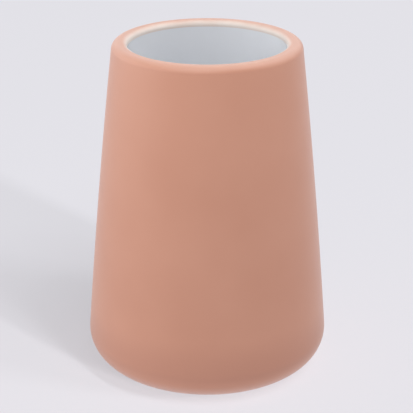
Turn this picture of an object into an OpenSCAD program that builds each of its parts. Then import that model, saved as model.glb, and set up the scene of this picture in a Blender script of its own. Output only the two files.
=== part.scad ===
// Bathroom tumbler: a tapered ceramic cup with a rounded heel and rim, a soft-touch coating outside,
// a glazed inside and a glazed recess underneath with pads in it.
// Millimetres. The origin is on the axis, on the surface that the tumbler stands on. +Z points up.

/* [Cup] */
// Height from the table to the top of the rim
overall_h = 110; // [90:1:130]
// Diameter at which the wall's line would meet the table, before the heel is rounded
base_d = 81.6; // [76:0.1:90]
// Diameter at which the wall's line would meet the rim's level, before the rim is rounded
rim_d = 60.3; // [54:0.1:74]
// How far the wall swells beyond a straight taper, at mid-height
belly = 0.56; // [0.2:0.02:2]
// Thickness of the wall, glaze and coating included
wall = 5; // [4.2:0.1:6.5]
// Thickness of the floor of the cup, glaze included
floor_t = 6; // [4:0.1:9]

/* [Rounding] */
// Radius of the rounded heel
heel_r = 10.5; // [6:0.1:13]
// Radius of the rim's outer edge
rim_outer_r = 2.4; // [1.5:0.1:3.5]
// Radius of the rim's inner edge
rim_inner_r = 1.6; // [0.5:0.1:1.8]
// Radius inside the cup, where the wall meets the floor
well_r = 8; // [4:0.1:14]

/* [Foot] */
// How far the bare foot ring stands out below the coated heel
foot_h = 0.6; // [0.4:0.05:1.5]
// How far the foot ring's outer side stands in from the start of the heel's curve
foot_inset = 1.5; // [0.8:0.1:4]
// Width of the foot ring
foot_w = 4; // [2.5:0.1:6]
// Radius of the foot ring's two edges
foot_edge_r = 0.3; // [0.15:0.05:0.5]
// Depth of the recess inside the foot ring
recess_h = 1.6; // [1.2:0.1:3]
// Radius of the corner between the recess's side and its roof
recess_r = 0.8; // [0.4:0.1:1]

/* [Finishes] */
// Thickness of the soft-touch coating
coat_t = 0.15; // [0.1:0.01:0.3]
// Thickness of the glaze, inside and underneath
glaze_t = 0.3; // [0.2:0.02:0.5]
// How far the coating reaches down inside the mouth, from the top of the rim
coat_lap = 2.1; // [1.85:0.05:4]
// How far the glaze underneath stops above the foot ring's rounded edge
wiped_h = 0.15; // [0.1:0.01:0.25]

/* [Pads] */
// Number of pads
pad_count = 4; // [3:1:8]
// Diameter of a pad
pad_d = 8; // [5:0.5:12]
// How far the pads stand out below the foot ring
pad_proud = 0.3; // [0.2:0.05:0.8]
// Radius of a pad's lower edge
pad_edge_r = 0.5; // [0.2:0.1:1]
// Room between a pad and the corner of the recess
pad_gap = 1.2; // [0.5:0.1:4]

/* [Hidden] */

$fn = 180;
// Straight steps that each rounded edge and each wall is drawn with
round_steps = 15;
wall_steps = 12;

// Levels, up from the table
foot_z = pad_proud;
heel_z = foot_z + foot_h;
recess_z = foot_z + recess_h;
floor_z = recess_z + floor_t;
coat_end_z = overall_h - coat_lap;
wiped_z = foot_z + foot_edge_r + wiped_h;

// The wall outside is one long arc through its line's two ends, bowed out by the belly
base_p = [base_d / 2, 0];
rim_p = [rim_d / 2, overall_h];
chord = norm(rim_p - base_p);
bow_r = chord * chord / (8 * belly) + belly / 2;
outward = [rim_p.y - base_p.y, base_p.x - rim_p.x] / chord;
bow_c = (base_p + rim_p) / 2 - (bow_r - belly) * outward;

// The point at height z that lies at depth d behind the wall's outer face
function in_wall(d, z) = [bow_c.x + sqrt(pow(bow_r - d, 2) - pow(z - bow_c.y, 2)), z];

// Direction from the wall arc's centre to point p, as an angle
function lean(p) = atan2(p.y - bow_c.y, p.x - bow_c.x);

// Points on an arc about c, from angle a to angle b
function arc(c, r, a, b, steps = round_steps) = [
    for (i = [0:steps])
        let (t = a + (b - a) * i / steps)
            c + r * [cos(t), sin(t)]
];

function reversed(points) = [for (i = [len(points) - 1:-1:0]) points[i]];

// Centres of the rounded edges: every layer is drawn about the same centres
heel_c = in_wall(heel_r, heel_z + heel_r);
rim_c = in_wall(rim_outer_r, overall_h - rim_outer_r);
lip_c = in_wall(wall - rim_inner_r, overall_h - rim_inner_r);
well_c = in_wall(wall + well_r, floor_z + well_r);

// Foot ring, recess and pads, measured from the axis
foot_outer_r = heel_c.x - foot_inset;
foot_inner_r = foot_outer_r - foot_w;
recess_c = [foot_inner_r - recess_r, recess_z - recess_r];
pad_r = recess_c.x - pad_gap - pad_d / 2;

// The coated side at depth d below its surface: foot, heel, wall, rim and the start of the inside
function coated_side(d) = concat(
    [[foot_outer_r, heel_z + d]],
    arc(heel_c, heel_r - d, -90, lean(heel_c)),
    arc(bow_c, bow_r - d, lean(heel_c), lean(rim_c), wall_steps),
    arc(rim_c, rim_outer_r - d, lean(rim_c), 90),
    arc(lip_c, rim_inner_r - d, 90, 180 + lean(lip_c)),
    [in_wall(wall - d, coat_end_z)]
);

// The glazed inside at depth d below its surface, from the coating's end to the axis
function glazed_inside(d) = concat(
    arc(bow_c, bow_r - wall + d, lean(in_wall(wall - d, coat_end_z)), lean(well_c), wall_steps),
    arc(well_c, well_r + d, lean(well_c), -90),
    [[0, floor_z - d]]
);

// The glazed recess at depth d behind its surface, from the axis to the wiped foot ring
function glazed_recess(d) = concat(
    [[0, recess_z + d]],
    arc(recess_c, recess_r + d, 90, 0),
    [[foot_inner_r + d, wiped_z]]
);

// The bare foot ring, from its inner side round to its outer side
foot_ring = concat(
    [[foot_inner_r, wiped_z]],
    arc([foot_inner_r + foot_edge_r, foot_z + foot_edge_r], foot_edge_r, 180, 270),
    arc([foot_outer_r - foot_edge_r, foot_z + foot_edge_r], foot_edge_r, 270, 360)
);

// The fired cup under all of its layers
module ceramic_body() {
    color("linen")
        rotate_extrude()
            polygon(concat(glazed_recess(glaze_t), foot_ring, coated_side(coat_t), glazed_inside(glaze_t)));
}

// White lining of the cup
module inside_glaze() {
    color("white")
        rotate_extrude()
            polygon(concat(glazed_inside(0), reversed(glazed_inside(glaze_t))));
}

// White lining of the recess underneath
module underside_glaze() {
    color("whitesmoke")
        rotate_extrude()
            polygon(concat(glazed_recess(0), reversed(glazed_recess(glaze_t))));
}

// Matt lacquer over the heel, the wall and the rim
module soft_touch_coating() {
    color([0.80, 0.60, 0.51])
        rotate_extrude()
            polygon(concat(coated_side(0), reversed(coated_side(coat_t))));
}

// One pad: a disc with a rounded lower edge, standing on the table
module pad() {
    edge_c = [pad_d / 2 - pad_edge_r, pad_edge_r];
    rotate_extrude()
        polygon(concat([[0, 0]], arc(edge_c, pad_edge_r, -90, 0), [[pad_d / 2, recess_z], [0, recess_z]]));
}

// The pads, evenly spaced round the recess and stuck to its roof
module non_slip_pads() {
    color("gainsboro")
        for (i = [0:pad_count - 1])
            rotate([0, 0, (i + 1 / 2) * 360 / pad_count])
                translate([pad_r, 0, 0])
                    pad();
}

ceramic_body();
inside_glaze();
underside_glaze();
soft_touch_coating();
non_slip_pads();
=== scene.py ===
"""The looks of a bathroom tumbler: a tapered ceramic cup with a soft-touch lacquer outside and a white
glaze inside, which stands on clear pads.

Lengths are in metres, in the frame's own axes: +Z points up, the tumbler's axis is at x = y = 0, and the
camera is on the -Y side.
"""

import logging
import math
from dataclasses import dataclass
from enum import Enum

import bmesh
import bpy
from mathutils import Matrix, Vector


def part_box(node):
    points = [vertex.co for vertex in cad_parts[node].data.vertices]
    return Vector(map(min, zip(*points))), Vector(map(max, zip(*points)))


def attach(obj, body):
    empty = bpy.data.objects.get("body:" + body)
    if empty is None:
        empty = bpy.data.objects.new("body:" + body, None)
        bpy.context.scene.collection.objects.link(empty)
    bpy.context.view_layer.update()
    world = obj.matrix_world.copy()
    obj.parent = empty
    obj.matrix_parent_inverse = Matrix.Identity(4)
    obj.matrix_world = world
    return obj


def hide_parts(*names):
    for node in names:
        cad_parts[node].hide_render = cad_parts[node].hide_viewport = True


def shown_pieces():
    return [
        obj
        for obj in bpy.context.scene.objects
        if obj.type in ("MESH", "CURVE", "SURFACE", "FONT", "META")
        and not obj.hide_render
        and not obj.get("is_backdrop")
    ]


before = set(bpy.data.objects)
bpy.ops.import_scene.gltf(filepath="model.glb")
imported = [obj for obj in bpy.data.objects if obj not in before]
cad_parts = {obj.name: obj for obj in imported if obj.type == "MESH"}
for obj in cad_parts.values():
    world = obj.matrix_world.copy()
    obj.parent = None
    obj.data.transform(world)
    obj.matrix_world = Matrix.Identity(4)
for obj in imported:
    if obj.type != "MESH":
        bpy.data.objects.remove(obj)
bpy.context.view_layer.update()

MM = 0.001
BODY = "root"
log = logging.getLogger("tumbler")

Point = tuple[float, float]
Colour = tuple[float, float, float]


class Slot(Enum):
    """The record's material slots."""

    CLAY = "fired_clay"
    GLAZE = "white_glaze"
    LACQUER = "peach_lacquer"
    SILICONE = "clear_silicone"


class Outline(Enum):
    """How a turned outline closes into a shell."""

    LOOP = "its last point joins its first"
    POLES = "both of its ends lie on the axis"


class Reach(Enum):
    """What a lamp shines on."""

    TUMBLER = "the tumbler"
    FLOOR = "the floor"


def linear(red: int, green: int, blue: int) -> Colour:
    """Turns a colour as a screen shows it into the linear light that shaders work in.

    Args:
        red: Red, 0 to 255.
        green: Green, 0 to 255.
        blue: Blue, 0 to 255.

    Returns:
        The three linear values, 0 to 1.
    """
    full, toe, slope, offset, scale, power = 255, 0.04045, 12.92, 0.055, 1.055, 2.4
    values = [channel / full for channel in (red, green, blue)]
    return tuple(v / slope if v <= toe else ((v + offset) / scale) ** power for v in values)


class Wire:
    """An output socket of a node tree, which arithmetic can be done on."""

    def __init__(self, graph: "Graph", socket: bpy.types.NodeSocket) -> None:
        """Wraps a socket.

        Args:
            graph: The graph that the socket's node is in.
            socket: The output socket.
        """
        self.graph = graph
        self.socket = socket

    def _math(self, operation: str, first: "Wire | float", second: "Wire | float") -> "Wire":
        """Adds a Math node.

        Args:
            operation: The node's operation.
            first: Its first value or wire.
            second: Its second value or wire.

        Returns:
            The node's result.
        """
        return self.graph.wire("ShaderNodeMath", {"operation": operation}, {0: first, 1: second})

    def __add__(self, other: "Wire | float") -> "Wire":
        """Adds."""
        return self._math("ADD", self, other)

    def __radd__(self, other: "Wire | float") -> "Wire":
        """Adds to a number."""
        return self._math("ADD", other, self)

    def __sub__(self, other: "Wire | float") -> "Wire":
        """Subtracts."""
        return self._math("SUBTRACT", self, other)

    def __rsub__(self, other: "Wire | float") -> "Wire":
        """Subtracts from a number."""
        return self._math("SUBTRACT", other, self)

    def __mul__(self, other: "Wire | float") -> "Wire":
        """Multiplies."""
        return self._math("MULTIPLY", self, other)

    def __rmul__(self, other: "Wire | float") -> "Wire":
        """Multiplies a number."""
        return self._math("MULTIPLY", other, self)

    def __truediv__(self, other: "Wire | float") -> "Wire":
        """Divides."""
        return self._math("DIVIDE", self, other)

    def __rtruediv__(self, other: "Wire | float") -> "Wire":
        """Divides a number."""
        return self._math("DIVIDE", other, self)

    def __mod__(self, other: "Wire | float") -> "Wire":
        """Gives what is left after a division."""
        return self._math("MODULO", self, other)

    def __rmod__(self, other: "Wire | float") -> "Wire":
        """Gives what is left after a number's division."""
        return self._math("MODULO", other, self)

    def apply(self, operation: str) -> "Wire":
        """Gives one of the Math node's functions of this value, such as SINE or FLOOR."""
        return self._math(operation, self, 0.0)


class Graph:
    """A node tree that nodes are added to."""

    def __init__(self, tree: bpy.types.NodeTree) -> None:
        """Takes a tree and empties it."""
        self.tree = tree
        self.tree.nodes.clear()

    def node(
        self,
        kind: str,
        settings: dict[str, object] | None = None,
        inputs: dict[int | str, object] | None = None,
    ) -> bpy.types.Node:
        """Adds a node.

        Args:
            kind: The node's type.
            settings: Its own properties, which are set before its sockets.
            inputs: A value or a wire for each socket named or numbered.

        Returns:
            The node.
        """
        made = self.tree.nodes.new(kind)
        for name, value in (settings or {}).items():
            setattr(made, name, value)
        for key, value in (inputs or {}).items():
            if isinstance(value, Wire):
                self.tree.links.new(value.socket, made.inputs[key])
            else:
                made.inputs[key].default_value = value
        return made

    def wire(
        self,
        kind: str,
        settings: dict[str, object] | None = None,
        inputs: dict[int | str, object] | None = None,
        output: int | str = 0,
    ) -> Wire:
        """Adds a node and gives one of its outputs.

        Args:
            kind: The node's type.
            settings: Its own properties.
            inputs: A value or a wire for each socket named or numbered.
            output: The name or number of the output.

        Returns:
            That output.
        """
        return Wire(self, self.node(kind, settings, inputs).outputs[output])


class ShaderGraph(Graph):
    """A shader tree, with the patterns that the finishes share."""

    # The Mix node's colour sockets, by number, because its other sockets have the same names
    FIRST_COLOUR, SECOND_COLOUR, MIXED_COLOUR = 6, 7, 2
    # The middle of a Noise Texture's values, and of a share
    MIDDLE = 0.5

    @classmethod
    def for_material(cls, name: str) -> "ShaderGraph":
        """Makes a new material.

        Args:
            name: Its name.

        Returns:
            Its graph, which keeps it as graph.material.
        """
        material = bpy.data.materials.new(name)
        material.use_nodes = True
        graph = cls(material.node_tree)
        graph.material = material
        return graph

    def place(self) -> Wire:
        """Gives the place on the piece."""
        return self.wire("ShaderNodeTexCoord", output="Object")

    def height(self) -> Wire:
        """Gives the height above the table."""
        return self.wire("ShaderNodeSeparateXYZ", None, {0: self.place()}, "Z")

    def radius(self) -> Wire:
        """Gives the distance from the tumbler's axis.

        Returns:
            The distance.
        """
        axes = self.node("ShaderNodeSeparateXYZ", None, {0: self.place()})
        x, y = (Wire(self, axes.outputs[name]) for name in "XY")
        return (x * x + y * y).apply("SQRT")

    def noise(self, size: float, detail: float = 2.0) -> Wire:
        """Gives a soft random pattern about 0, mostly within -0.2 and 0.2.

        Args:
            size: The size of its spots.
            detail: How many finer layers it has.

        Returns:
            The pattern.
        """
        inputs = {"Vector": self.place(), "Scale": 1 / size, "Detail": detail}
        return self.wire("ShaderNodeTexNoise", None, inputs) - self.MIDDLE

    def clouds(self, size: float, contrast: float) -> Wire:
        """Gives a share that drifts softly about a half, to blend two tones with.

        Args:
            size: The size of its clouds.
            contrast: How far it drifts, where 1 keeps it mostly within 0.3 and 0.7.

        Returns:
            The share.
        """
        return self.noise(size) * contrast + self.MIDDLE

    def ramp(self, value: Wire, start: float, end: float) -> Wire:
        """Rises smoothly from 0 where value is start to 1 where it is end."""
        settings = {"interpolation_type": "SMOOTHSTEP"}
        return self.wire("ShaderNodeMapRange", settings, {0: value, 1: start, 2: end})

    def blend(self, share: Wire | float, first: Wire | Colour, second: Wire | Colour) -> Wire:
        """Mixes two colours.

        Args:
            share: How much of the second colour shows.
            first: The first colour.
            second: The second colour.

        Returns:
            The mixed colour.
        """
        pair = [c if isinstance(c, Wire) else (*c, 1.0) for c in (first, second)]
        inputs = {0: share, self.FIRST_COLOUR: pair[0], self.SECOND_COLOUR: pair[1]}
        return self.wire("ShaderNodeMix", {"data_type": "RGBA"}, inputs, self.MIXED_COLOUR)

    def relief(self, height: Wire, normal: Wire | None = None) -> Wire:
        """Gives the normal of a fine relief.

        Args:
            height: Its height, in metres.
            normal: The normal of the relief that it lies on, if it lies on one.

        Returns:
            The normal.
        """
        inputs = {"Height": height, "Distance": 1.0, "Strength": 1.0}
        if normal is not None:
            inputs["Normal"] = normal
        return self.wire("ShaderNodeBump", None, inputs)

    def principled(self, **inputs: object) -> Wire:
        """Adds a Principled shader.

        Args:
            **inputs: Its sockets, with an underscore for each space.

        Returns:
            Its shader.
        """
        named = {name.replace("_", " "): value for name, value in inputs.items()}
        return self.wire("ShaderNodeBsdfPrincipled", None, named)

    def mixed(self, share: Wire | float, first: Wire, second: Wire) -> Wire:
        """Mixes two shaders, with share of the second one."""
        return self.wire("ShaderNodeMixShader", None, {0: share, 1: first, 2: second})

    def output(self, surface: Wire) -> None:
        """Ends a material's tree in its surface shader."""
        self.node("ShaderNodeOutputMaterial", None, {"Surface": surface})


@dataclass(frozen=True)
class SoftTouchLacquer:
    """Matt peach lacquer with a velvety sheen.

    It pales over the crown of the rim, round the lip of the mouth and towards the foot, from where each is
    full to where each is palest. Round the lip the lacquer thins over the glaze. Over the crown the paling
    is partly thinner lacquer and partly a painted highlight; towards the foot it is partly thinner lacquer
    and partly painted light bounced from the floor.
    A painted shade darkens the lacquer in a strip above the heel's turn: it sets in at its start, is full
    down to its fade and is gone at its end.
    """

    deep: Colour = (0.565, 0.266, 0.177)
    pale: Colour = (0.600, 0.292, 0.198)
    # The cream of thinner lacquer over the glaze, which also serves as a painted highlight over the crown
    # and as painted floor light towards the foot
    thin_and_painted_light: Colour = (0.85, 0.78, 0.72)
    # Painted shade: the darker tone of the strip above the heel's turn
    heel_shade: Colour = (0.53, 0.25, 0.17)
    cloud_size: float = 26 * MM
    cloud_contrast: float = 2.0
    # Over the crown the paling is partly thinner lacquer and partly a painted highlight
    crown_full_z: float = 108.4 * MM
    crown_palest_z: float = 110.2 * MM
    crown_share: float = 0.13
    lip_full_r: float = 27.1 * MM
    lip_thin_r: float = 24.8 * MM
    lip_share: float = 1.0
    lip_wander: float = 0.8 * MM
    wander_size: float = 9 * MM
    # Towards the foot the paling is partly thinner lacquer and partly painted light bounced from the floor
    foot_full_z: float = 8.0 * MM
    foot_palest_z: float = 0.9 * MM
    foot_share: float = 0.25
    # Where the painted shade above the heel's turn sets in, is full, fades and is gone
    shade_start_z: float = 24.0 * MM
    shade_full_z: float = 12.5 * MM
    shade_fade_z: float = 10.5 * MM
    shade_end_z: float = 7.0 * MM
    roughness: float = 0.4
    roughness_spread: float = 0.12
    grain_size: float = 0.4 * MM
    grain_height: float = 0.02 * MM
    wave_size: float = 14 * MM
    wave_height: float = 0.06 * MM
    sheen: float = 0.15
    sheen_roughness: float = 0.35

    def material(self) -> bpy.types.Material:
        """Makes the material.

        Returns:
            The material.
        """
        graph = ShaderGraph.for_material("soft_touch_lacquer")
        clouds = graph.clouds(self.cloud_size, self.cloud_contrast)
        colour = graph.blend(clouds, self.deep, self.pale)
        height = graph.height()
        # Painted shade in a strip above the heel's turn
        heel_shade = graph.ramp(height, self.shade_start_z, self.shade_full_z)
        heel_shade = heel_shade * graph.ramp(height, self.shade_end_z, self.shade_fade_z)
        colour = graph.blend(heel_shade, colour, self.heel_shade)
        reach = graph.radius() + graph.noise(self.wander_size) * self.lip_wander
        for paling in (
            # Over the crown: partly thinner lacquer, partly a painted highlight
            graph.ramp(height, self.crown_full_z, self.crown_palest_z) * self.crown_share,
            graph.ramp(reach, self.lip_full_r, self.lip_thin_r) * self.lip_share,
            # Towards the foot: partly thinner lacquer, partly painted floor light
            graph.ramp(height, self.foot_full_z, self.foot_palest_z) * self.foot_share,
        ):
            colour = graph.blend(paling, colour, self.thin_and_painted_light)
        grain = graph.noise(self.grain_size, detail=3.0)
        waves = graph.noise(self.wave_size, detail=0.0)
        shader = graph.principled(
            Base_Color=colour,
            Roughness=graph.noise(self.grain_size) * self.roughness_spread + self.roughness,
            Normal=graph.relief(grain * self.grain_height, graph.relief(waves * self.wave_height)),
            Sheen_Weight=self.sheen,
            Sheen_Roughness=self.sheen_roughness,
        )
        graph.output(shader)
        return graph.material


@dataclass(frozen=True)
class WhiteGlaze:
    """Glossy white glaze with a faint orange peel.

    It pooled as it ran: from pool_high_z to pool_low_z it grows a little deeper.
    """

    name: str
    pool_low_z: float
    pool_high_z: float
    colour: Colour = (0.87, 0.885, 0.92)
    pooled: Colour = (0.82, 0.845, 0.885)
    tone_spread: float = 0.5
    cloud_size: float = 18 * MM
    cloud_contrast: float = 1.0
    roughness: float = 0.16
    roughness_spread: float = 0.12
    peel_size: float = 1.6 * MM
    peel_height: float = 0.008 * MM
    wave_size: float = 7 * MM
    wave_height: float = 0.05 * MM

    def material(self) -> bpy.types.Material:
        """Makes the material.

        Returns:
            The material.
        """
        graph = ShaderGraph.for_material(self.name)
        pooling = graph.ramp(graph.height(), self.pool_high_z, self.pool_low_z)
        depth = (pooling + graph.clouds(self.cloud_size, self.cloud_contrast)) * self.tone_spread
        waves = graph.noise(self.wave_size, detail=0.0)
        peel = graph.noise(self.peel_size, detail=1.0)
        shader = graph.principled(
            Base_Color=graph.blend(depth, self.colour, self.pooled),
            Roughness=graph.noise(self.wave_size) * self.roughness_spread + self.roughness,
            Normal=graph.relief(peel * self.peel_height, graph.relief(waves * self.wave_height)),
        )
        graph.output(shader)
        return graph.material


@dataclass(frozen=True)
class BareStoneware:
    """Unglazed fired clay, gritty and faintly speckled."""

    colour: Colour = (0.70, 0.64, 0.55)
    warm: Colour = (0.62, 0.52, 0.42)
    speck: Colour = (0.30, 0.22, 0.16)
    cloud_size: float = 5 * MM
    cloud_contrast: float = 2.0
    speck_size: float = 0.5 * MM
    speck_from: float = 0.16
    speck_full: float = 0.22
    grit_size: float = 0.3 * MM
    grit_height: float = 0.05 * MM
    roughness: float = 0.85

    def material(self) -> bpy.types.Material:
        """Makes the material.

        Returns:
            The material.
        """
        graph = ShaderGraph.for_material("bare_stoneware")
        clouds = graph.clouds(self.cloud_size, self.cloud_contrast)
        clay = graph.blend(clouds, self.colour, self.warm)
        specks = graph.ramp(graph.noise(self.speck_size, detail=0.0), self.speck_from, self.speck_full)
        grit = graph.noise(self.grit_size, detail=4.0)
        shader = graph.principled(
            Base_Color=graph.blend(specks, clay, self.speck),
            Roughness=self.roughness,
            Normal=graph.relief(grit * self.grit_height),
        )
        graph.output(shader)
        return graph.material


@dataclass(frozen=True)
class FrostedSilicone:
    """Clear silicone with a moulded frost on it."""

    colour: Colour = (0.75, 0.76, 0.76)
    opacity: float = 0.72
    roughness: float = 0.38
    frost_size: float = 0.25 * MM
    frost_height: float = 0.012 * MM
    cloud_size: float = 2.5 * MM
    cloud_spread: float = 0.25

    def material(self) -> bpy.types.Material:
        """Makes the material.

        Returns:
            The material.
        """
        graph = ShaderGraph.for_material("frosted_silicone")
        frost = graph.noise(self.frost_size)
        shader = graph.principled(
            Base_Color=(*self.colour, 1.0),
            Alpha=graph.noise(self.cloud_size) * self.cloud_spread + self.opacity,
            Roughness=frost * self.cloud_spread + self.roughness,
            Normal=graph.relief(frost * self.frost_height),
        )
        graph.output(shader)
        return graph.material


class ShapeTree(Graph):
    """A Geometry Nodes tree with named inputs, which turns an outline into a closed mesh."""

    def __init__(self, name: str, inputs: dict[str, str]) -> None:
        """Makes a tree that has its inputs and its output, and nothing between them.

        Args:
            name: The tree's name.
            inputs: The type of each input socket, by its name. The first one is the outline's mesh.
        """
        super().__init__(bpy.data.node_groups.new(name, "GeometryNodeTree"))
        for label, kind in inputs.items():
            self.tree.interface.new_socket(label, in_out="INPUT", socket_type=kind)
        self.tree.interface.new_socket("Mesh", in_out="OUTPUT", socket_type="NodeSocketGeometry")
        given = self.node("NodeGroupInput")
        self.given = {label: Wire(self, given.outputs[label]) for label in inputs}

    def end(self, mesh: Wire) -> None:
        """Makes the mesh real, dresses it in the Finish input and ends the tree.

        Args:
            mesh: What the tree has made.
        """
        real = self.wire("GeometryNodeRealizeInstances", None, {"Geometry": mesh})
        inputs = {"Geometry": real, "Material": self.given["Finish"]}
        self.node("NodeGroupOutput", None, {0: self.wire("GeometryNodeSetMaterial", None, inputs)})

    def piece(self, name: str, outline: list[Point], values: dict[str, object]) -> bpy.types.Object:
        """Runs the tree on an outline and keeps what it makes as a plain mesh that faces outwards.

        Args:
            name: The piece's name.
            outline: Points of radius and height, in order.
            values: A value for each input but the first, by the input's name.

        Returns:
            The piece, at the origin.
        """
        line = bpy.data.meshes.new(name)
        steps = [(i, i + 1) for i in range(len(outline) - 1)]
        line.from_pydata([(radius, 0.0, height) for radius, height in outline], steps, [])
        piece = bpy.data.objects.new(name, line)
        bpy.context.scene.collection.objects.link(piece)
        modifier = piece.modifiers.new(self.tree.name, "NODES")
        modifier.node_group = self.tree
        for item in self.tree.interface.items_tree:
            if item.in_out == "INPUT" and item.name in values:
                modifier[item.identifier] = values[item.name]
        found = piece.evaluated_get(bpy.context.evaluated_depsgraph_get())
        mesh = bpy.data.meshes.new_from_object(found)
        piece.modifiers.remove(modifier)
        piece.data = mesh
        shell = bmesh.new()
        shell.from_mesh(mesh)
        bmesh.ops.recalc_face_normals(shell, faces=shell.faces)
        shell.to_mesh(mesh)
        shell.free()
        mesh.name = name
        return piece


class Lathe(ShapeTree):
    """Turns an outline in the XZ plane round the Z axis."""

    INPUTS = {
        "Outline": "NodeSocketGeometry",
        "Segments": "NodeSocketInt",
        "Weld Distance": "NodeSocketFloat",
        "Crease Angle": "NodeSocketFloat",
        "Finish": "NodeSocketMaterial",
    }

    def __init__(self) -> None:
        """Builds the tree."""
        super().__init__("turned_shell", self.INPUTS)
        shell = self._turned(self.given["Outline"], self.given["Segments"])
        welded = {"Geometry": shell, "Distance": self.given["Weld Distance"]}
        shell = self.wire("GeometryNodeMergeByDistance", None, welded)
        self.end(self._creased(shell, self.given["Crease Angle"]))

    def _turned(self, outline: Wire, segments: Wire) -> Wire:
        """Lays a grid round the axis, one row of it for each point of the outline.

        Args:
            outline: The outline's mesh.
            segments: How many steps go round the axis.

        Returns:
            The grid, with its seam and its poles still open.
        """
        settings, inputs = {"component": "MESH"}, {"Geometry": outline}
        rows = self.wire("GeometryNodeAttributeDomainSize", settings, inputs, "Point Count")
        columns = segments + 1
        grid = self.wire("GeometryNodeMeshGrid", None, {"Vertices X": rows, "Vertices Y": columns})
        index = self.wire("GeometryNodeInputIndex")
        sampled = self.wire(
            "GeometryNodeSampleIndex",
            {"data_type": "FLOAT_VECTOR", "domain": "POINT"},
            {
                "Geometry": outline,
                "Value": self.wire("GeometryNodeInputPosition"),
                "Index": (index / columns).apply("FLOOR"),
            },
        )
        parts = self.node("ShaderNodeSeparateXYZ", None, {0: sampled})
        radius, height = Wire(self, parts.outputs["X"]), Wire(self, parts.outputs["Z"])
        angle = index % columns * math.tau / segments
        turned = {"X": radius * angle.apply("COSINE"), "Y": radius * angle.apply("SINE"), "Z": height}
        place = self.wire("ShaderNodeCombineXYZ", None, turned)
        return self.wire("GeometryNodeSetPosition", None, {"Geometry": grid, "Position": place})

    def _creased(self, shell: Wire, crease: Wire) -> Wire:
        """Shades a shell smooth, apart from edges sharper than the crease angle.

        Args:
            shell: The mesh.
            crease: The angle, in radians.

        Returns:
            The shaded mesh.
        """
        angle = self.wire("GeometryNodeInputMeshEdgeAngle")
        gentle = self.wire("FunctionNodeCompare", {"operation": "LESS_THAN"}, {0: angle, 1: crease})
        kind = "GeometryNodeSetShadeSmooth"
        shell = self.wire(kind, {"domain": "FACE"}, {"Geometry": shell, "Shade Smooth": True})
        return self.wire(kind, {"domain": "EDGE"}, {"Geometry": shell, "Shade Smooth": gentle})


class RingOfCopies(ShapeTree):
    """Turns an outline on the lathe and sets copies of it evenly round a circle."""

    def __init__(self, lathe: Lathe) -> None:
        """Builds the tree.

        Args:
            lathe: What turns one copy.
        """
        own = {"Count": "NodeSocketInt", "Ring Radius": "NodeSocketFloat"}
        super().__init__("ring_of_copies", {**Lathe.INPUTS, **own})
        shared = {label: self.given[label] for label in Lathe.INPUTS}
        one = self.wire("GeometryNodeGroup", {"node_tree": lathe.tree}, shared)
        count, radius = self.given["Count"], self.given["Ring Radius"]
        ring = self.wire("GeometryNodeMeshCircle", None, {"Vertices": count, "Radius": radius})
        half_step = self.wire("ShaderNodeCombineXYZ", None, {"Z": math.pi / count})
        ring = self.wire("GeometryNodeTransform", None, {"Geometry": ring, "Rotation": half_step})
        self.end(self.wire("GeometryNodeInstanceOnPoints", None, {"Points": ring, "Instance": one}))


@dataclass(frozen=True)
class Turning:
    """How finely shells are turned."""

    segments: int = 192
    weld: float = 0.001 * MM
    crease: float = math.radians(40)

    def values(self, finish: bpy.types.Material) -> dict[str, object]:
        """Gives the lathe's inputs for a finish."""
        names = ("Segments", "Weld Distance", "Crease Angle", "Finish")
        return dict(zip(names, (self.segments, self.weld, self.crease, finish)))


def arc(centre: Point, radius: float, start: float, end: float, steps: int) -> list[Point]:
    """Gives points on an arc.

    Args:
        centre: Its centre.
        radius: Its radius.
        start: The angle at its start, in degrees.
        end: The angle at its end, in degrees.
        steps: How many straight steps it has.

    Returns:
        The points, both ends included.
    """
    turns = [math.radians(start + (end - start) * i / steps) for i in range(steps + 1)]
    return [(centre[0] + radius * math.cos(t), centre[1] + radius * math.sin(t)) for t in turns]


def settle(piece: bpy.types.Object, node: str) -> None:
    """Fixes a finished piece to the frame.

    Args:
        piece: The piece.
        node: The CAD node that it stands for.
    """
    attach(piece, BODY)
    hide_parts(node)
    log.info("%s stands for %s with %d faces", piece.name, node, len(piece.data.polygons))


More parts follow.
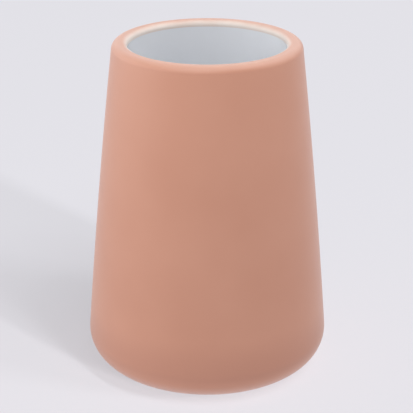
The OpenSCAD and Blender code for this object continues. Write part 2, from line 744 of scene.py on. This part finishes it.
@dataclass
class Cup:
    """The ceramic cup with its lacquer and its two glazed areas, all turned from one section."""

    base_r: float = 40.8 * MM
    rim_r: float = 30.15 * MM
    belly: float = 0.56 * MM
    wall: float = 5.0 * MM
    heel_r: float = 10.5 * MM
    rim_outer_r: float = 2.4 * MM
    rim_inner_r: float = 1.6 * MM
    well_r: float = 8.0 * MM
    foot_inset: float = 1.5 * MM
    foot_w: float = 4.0 * MM
    foot_edge_r: float = 0.3 * MM
    recess_r: float = 0.8 * MM
    lacquer_t: float = 0.15 * MM
    glaze_t: float = 0.3 * MM
    heel_steps: int = 40
    wall_steps: int = 40
    edge_steps: int = 24
    well_steps: int = 32
    foot_steps: int = 8
    turning: Turning = Turning()

    def __post_init__(self) -> None:
        """Takes the levels from the CAD nodes and works out the centres of the rounded edges."""
        lacquer, lining, recess = map(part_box, ("soft_touch_coating", "inside_glaze", "underside_glaze"))
        self.rim_z = lacquer[1].z
        self.heel_z = lacquer[0].z
        self.lining_z = lining[1].z
        self.floor_z = lining[0].z + self.glaze_t
        self.wiped_z = recess[0].z
        self.recess_z = recess[1].z - self.glaze_t
        self.foot_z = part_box("ceramic_body")[0].z

        # The wall outside is one long arc through the ends of its taper, bowed out by the belly
        base, top = Vector((self.base_r, 0.0)), Vector((self.rim_r, self.rim_z))
        chord = (top - base).length
        self.bow_r = chord * chord / (8 * self.belly) + self.belly / 2
        outward = Vector((top.y - base.y, base.x - top.x)) / chord
        self.bow_c = tuple((base + top) / 2 - (self.bow_r - self.belly) * outward)

        # Every layer is drawn about the same centres
        self.heel_c = self.in_wall(self.heel_r, self.heel_z + self.heel_r)
        self.rim_c = self.in_wall(self.rim_outer_r, self.rim_z - self.rim_outer_r)
        self.lip_c = self.in_wall(self.wall - self.rim_inner_r, self.rim_z - self.rim_inner_r)
        self.well_c = self.in_wall(self.wall + self.well_r, self.floor_z + self.well_r)
        self.foot_outer_r = self.heel_c[0] - self.foot_inset
        self.foot_inner_r = self.foot_outer_r - self.foot_w
        self.recess_c = (self.foot_inner_r - self.recess_r, self.recess_z - self.recess_r)

    def in_wall(self, depth: float, height: float) -> Point:
        """Gives the point at that height and at that depth behind the wall's outer face."""
        reach = math.sqrt((self.bow_r - depth) ** 2 - (height - self.bow_c[1]) ** 2)
        return (self.bow_c[0] + reach, height)

    def lean(self, point: Point) -> float:
        """Gives the direction from the wall arc's centre to a point, in degrees."""
        return math.degrees(math.atan2(point[1] - self.bow_c[1], point[0] - self.bow_c[0]))

    def lacquered(self, depth: float) -> list[Point]:
        """Gives the lacquered side, from the foot up over the heel, the wall and the rim.

        Args:
            depth: How deep under the lacquer's surface.

        Returns:
            The points.
        """
        heel, rim, lip = self.lean(self.heel_c), self.lean(self.rim_c), self.lean(self.lip_c)
        return [
            (self.foot_outer_r, self.heel_z + depth),
            *arc(self.heel_c, self.heel_r - depth, -90, heel, self.heel_steps),
            *arc(self.bow_c, self.bow_r - depth, heel, rim, self.wall_steps)[1:-1],
            *arc(self.rim_c, self.rim_outer_r - depth, rim, 90, self.edge_steps),
            *arc(self.lip_c, self.rim_inner_r - depth, 90, 180 + lip, self.edge_steps),
            self.in_wall(self.wall - depth, self.lining_z),
        ]

    def lined(self, depth: float) -> list[Point]:
        """Gives the glazed inside, from the lacquer's end down to the axis.

        Args:
            depth: How deep under the glaze's surface.

        Returns:
            The points.
        """
        top, foot = self.lean(self.in_wall(self.wall - depth, self.lining_z)), self.lean(self.well_c)
        return [
            *arc(self.bow_c, self.bow_r - self.wall + depth, top, foot, self.wall_steps)[:-1],
            *arc(self.well_c, self.well_r + depth, foot, -90, self.well_steps),
            (0.0, self.floor_z - depth),
        ]

    def recessed(self, depth: float) -> list[Point]:
        """Gives the glazed recess under the cup, from the axis to the foot ring.

        Args:
            depth: How deep behind the glaze's surface.

        Returns:
            The points.
        """
        return [
            (0.0, self.recess_z + depth),
            *arc(self.recess_c, self.recess_r + depth, 90, 0, self.edge_steps),
            (self.foot_inner_r + depth, self.wiped_z),
        ]

    def foot_ring(self) -> list[Point]:
        """Gives the bare foot ring, from its inner side round to its outer side.

        Returns:
            The points.
        """
        edge_r, steps = self.foot_edge_r, self.foot_steps
        edge_z = self.foot_z + edge_r
        return [
            (self.foot_inner_r, self.wiped_z),
            *arc((self.foot_inner_r + edge_r, edge_z), edge_r, 180, 270, steps),
            *arc((self.foot_outer_r - edge_r, edge_z), edge_r, 270, 360, steps),
        ]

    def build(self, lathe: Lathe) -> None:
        """Turns the cup's four pieces and fixes them to the frame.

        Args:
            lathe: What turns them.
        """
        body = [*self.recessed(self.glaze_t), *self.foot_ring()]
        body += [*self.lacquered(self.lacquer_t), *self.lined(self.glaze_t)]
        shell = [*self.lacquered(0), *reversed(self.lacquered(self.lacquer_t))]
        lining = [*reversed(self.lined(self.glaze_t)), *self.lined(0)]
        recess = [*self.recessed(self.glaze_t), *reversed(self.recessed(0))]
        well_top = self.floor_z + self.well_r
        inside = WhiteGlaze("lining_glaze", self.floor_z, well_top)
        under = WhiteGlaze("recess_glaze", self.recess_z, self.wiped_z)
        rows = (
            ("fired_cup", body, Outline.POLES, BareStoneware(), "ceramic_body", Slot.CLAY),
            ("lacquer_shell", shell, Outline.LOOP, SoftTouchLacquer(), "soft_touch_coating", Slot.LACQUER),
            ("cup_lining", lining, Outline.POLES, inside, "inside_glaze", Slot.GLAZE),
            ("recess_lining", recess, Outline.POLES, under, "underside_glaze", Slot.GLAZE),
        )
        for name, outline, closing, finish, node, slot in rows:
            line = outline + outline[:1] if closing is Outline.LOOP else outline
            piece = lathe.piece(name, line, self.turning.values(finish.material()))
            settle(piece, node)


@dataclass
class Pads:
    """The clear pads in the recess, which the tumbler stands on."""

    count: int = 4
    radius: float = 4.0 * MM
    edge_r: float = 0.5 * MM
    glue_t: float = 0.02 * MM
    edge_steps: int = 12
    turning: Turning = Turning(segments=96)

    def outline(self, height: float) -> list[Point]:
        """Gives one pad's outline, from its underside to its top, which is at that height."""
        edge = arc((self.radius - self.edge_r, self.edge_r), self.edge_r, -90, 0, self.edge_steps)
        return [(0.0, 0.0), *edge, (self.radius, height), (0.0, height)]

    def build(self, ring: RingOfCopies) -> None:
        """Makes the ring of pads and fixes it to the frame.

        Args:
            ring: What turns one pad and copies it.
        """
        low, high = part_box("non_slip_pads")
        # The pad that reaches furthest along X stands half a step round from that axis
        half_step = math.pi / self.count
        ring_r = (high.x - self.radius) / math.cos(half_step)
        values = self.turning.values(FrostedSilicone().material())
        values |= {"Count": self.count, "Ring Radius": ring_r}
        piece = ring.piece("clear_pads", self.outline(high.z - low.z - self.glue_t), values)
        settle(piece, "non_slip_pads")


@dataclass(frozen=True)
class Softbox:
    """A lamp with a flat rectangular face that is turned to the tumbler.

    Its bearing is 0 in front of the tumbler and 90 to the right of it, in degrees. Its level is how bright
    it shows a white surface that faces it, where 1 is white. Without shadow, the tumbler doesn't block it.
    """

    name: str
    bearing: float
    elevation: float
    distance: float
    width: float
    height: float
    level: float
    reach: Reach = Reach.TUMBLER
    shadow: bool = True

    def build(self, aim: Vector, groups: dict[Reach, bpy.types.Collection]) -> None:
        """Makes the lamp.

        Args:
            aim: The point that it faces.
            groups: What each reach holds.
        """
        data = bpy.data.lights.new(self.name, "AREA")
        data.shape = "RECTANGLE"
        data.size, data.size_y = self.width, self.height
        data.energy = self.level * (math.pi * self.distance) ** 2
        lamp = bpy.data.objects.new(self.name, data)
        bearing, elevation = math.radians(self.bearing), math.radians(self.elevation)
        away = math.cos(elevation)
        back = Vector((math.sin(bearing) * away, -math.cos(bearing) * away, math.sin(elevation)))
        lamp.location = aim + back * self.distance
        lamp.rotation_euler = back.to_track_quat("Z", "Y").to_euler()
        lamp.visible_camera = False
        lamp.light_linking.receiver_collection = groups[self.reach]
        if not self.shadow:
            lamp.light_linking.blocker_collection = groups[Reach.FLOOR]
        bpy.context.scene.collection.objects.link(lamp)


@dataclass
class Studio:
    """A plain pale floor and background, soft lamps and the camera.

    To rays that show it, floor_glow of the floor glows at glow_level, and the rest is paper that the lamps
    light, which keeps the tumbler's shadow.
    """

    backdrop: Colour = linear(228, 227, 233)
    ambient: float = 0.18
    floor_r: float = 4.0
    floor_sides: int = 64
    floor_glow: float = 0.6
    glow_level: float = 0.97
    lens: float = 122.5
    camera_x: float = -0.24 * MM
    camera_y: float = -430.5 * MM
    camera_z: float = 228.1 * MM
    camera_dip: float = 22.07
    aim_z: float = 55 * MM
    # Each lamp's name, bearing, elevation, distance, width, height and level, and what it shines on
    lamps: tuple[Softbox, ...] = (
        Softbox("low_key_on_floor", 41, 10, 12.0, 0.8, 1.8, 1.15, Reach.FLOOR),
        Softbox("right_key_on_floor", 68, 18, 12.0, 3.0, 2.0, 0.44, Reach.FLOOR),
        Softbox("front_key_on_floor", 16, 42, 12.0, 2.8, 2.4, 0.10, Reach.FLOOR),
        Softbox("key_on_floor", 40, 55, 12.0, 1.0, 4.4, 0.24, Reach.FLOOR),
        Softbox("high_key_on_floor", 48, 69, 12.0, 1.2, 2.9, 0.10, Reach.FLOOR),
        Softbox("fill_on_floor", 0, 90, 12.0, 1.0, 1.0, 0.19, Reach.FLOOR, shadow=False),
        Softbox("left", -90, 14, 0.8, 1.2, 0.7, 0.63),
        Softbox("back_left", -150, 12, 0.8, 0.7, 0.7, 0.08),
        Softbox("right", 92, 42, 0.8, 0.8, 0.8, 0.47),
        Softbox("back_right", 150, 42, 0.8, 0.8, 0.8, 0.20),
        Softbox("front_left", -30, 42, 0.8, 0.8, 0.8, 0.14),
        Softbox("near", -15, 48, 0.45, 0.38, 0.38, 0.33),
        Softbox("top", 0, 90, 0.8, 1.0, 1.0, 0.38),
    )

    def build(self) -> None:
        """Sets up the view, the world, the floor, the lamps and the camera."""
        bpy.context.scene.view_settings.view_transform = "Standard"
        self._world()
        floor = self._floor()
        groups = {reach: bpy.data.collections.new(reach.name.lower()) for reach in Reach}
        groups[Reach.FLOOR].objects.link(floor)
        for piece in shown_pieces():
            groups[Reach.TUMBLER].objects.link(piece)
        for lamp in self.lamps:
            lamp.build(Vector((0.0, 0.0, self.aim_z)), groups)
        self._camera()
        log.info("studio has %d lamps", len(self.lamps))

    @staticmethod
    def _seen(graph: Graph) -> Wire:
        """Gives 1 for rays that show a picture of what they meet, and 0 for those that light it.

        Args:
            graph: The graph to add the nodes to.

        Returns:
            The 1 or 0.
        """
        path = graph.node("ShaderNodeLightPath")
        kinds = ("Is Camera Ray", "Is Glossy Ray", "Is Transmission Ray")
        camera, glossy, through = (Wire(graph, path.outputs[kind]) for kind in kinds)
        return (camera + glossy + through).apply("SIGN")

    def _world(self) -> None:
        """Makes a world that shows the backdrop's colour and gives a low even light."""
        world = bpy.data.worlds.new("studio")
        world.use_nodes = True
        bpy.context.scene.world = world
        graph = ShaderGraph(world.node_tree)
        light = graph.blend(self._seen(graph), (self.ambient,) * 3, self.backdrop)
        shown = graph.wire("ShaderNodeBackground", None, {"Color": light, "Strength": 1.0})
        graph.node("ShaderNodeOutputWorld", None, {"Surface": shown})

    def _floor(self) -> bpy.types.Object:
        """Makes the floor, which from below isn't seen.

        Returns:
            The floor.
        """
        mesh = bpy.data.meshes.new("floor")
        disc = bmesh.new()
        bmesh.ops.create_circle(disc, cap_ends=True, segments=self.floor_sides, radius=self.floor_r)
        disc.to_mesh(mesh)
        disc.free()
        floor = bpy.data.objects.new("floor", mesh)
        bpy.context.scene.collection.objects.link(floor)
        graph = ShaderGraph.for_material("floor_paper")
        paper = graph.wire("ShaderNodeBsdfDiffuse", None, {"Color": (*self.backdrop, 1.0)})
        light = {"Color": (*self.backdrop, 1.0), "Strength": self.glow_level}
        glow = graph.wire("ShaderNodeEmission", None, light)
        surface = graph.mixed(self._seen(graph) * self.floor_glow, paper, glow)
        clear = graph.wire("ShaderNodeBsdfTransparent")
        below = graph.wire("ShaderNodeNewGeometry", output="Backfacing")
        graph.output(graph.mixed(below, surface, clear))
        mesh.materials.append(graph.material)
        floor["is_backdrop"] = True
        return floor

    def _camera(self) -> None:
        """Makes the camera, which looks down at the tumbler from the front."""
        data = bpy.data.cameras.new("camera")
        data.lens = self.lens
        camera = bpy.data.objects.new("camera", data)
        camera.location = (self.camera_x, self.camera_y, self.camera_z)
        camera.rotation_euler = (math.radians(90 - self.camera_dip), 0.0, 0.0)
        bpy.context.scene.collection.objects.link(camera)
        bpy.context.scene.camera = camera


def main() -> None:
    """Builds the tumbler and the studio."""
    logging.basicConfig(level=logging.INFO, format="%(name)s: %(message)s")
    log.info("frame has %d nodes", len(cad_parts))
    lathe = Lathe()
    Cup().build(lathe)
    Pads().build(RingOfCopies(lathe))
    Studio().build()


if __name__ == "__main__":
    main()
